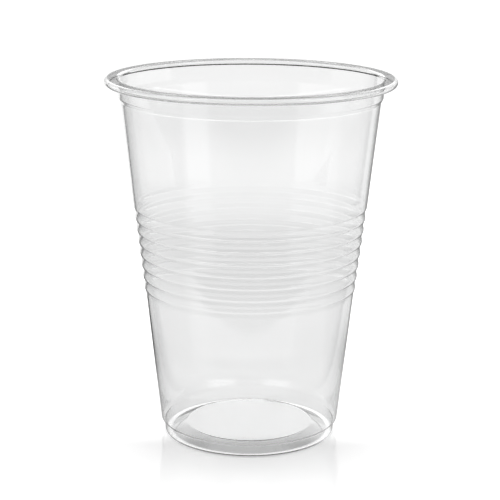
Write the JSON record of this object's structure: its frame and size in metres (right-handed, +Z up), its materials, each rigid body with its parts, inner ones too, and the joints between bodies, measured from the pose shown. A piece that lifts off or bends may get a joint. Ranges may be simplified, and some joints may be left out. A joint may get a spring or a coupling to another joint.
{
  "type": "plastic disposable cup",
  "caption": "Clear plastic disposable drinking cup: tapered thin wall with a band of grip ribs, rolled rim, stacking ledge, stepped foot ring and raised floor.",
  "frame": {"origin": "centre of the foot ring, on the surface that the cup stands on", "axes": "+Z up along the cup's axis, towards the rim; the cup is round, so +X and +Y are any two directions across it"},
  "size_m": [0.095, 0.095, 0.12],
  "materials": {
    "clear_plastic": "clear, glossy, thin-walled"
  },
  "bodies": {
    "root": {"cup": "clear_plastic"}
  },
  "joints": []
}
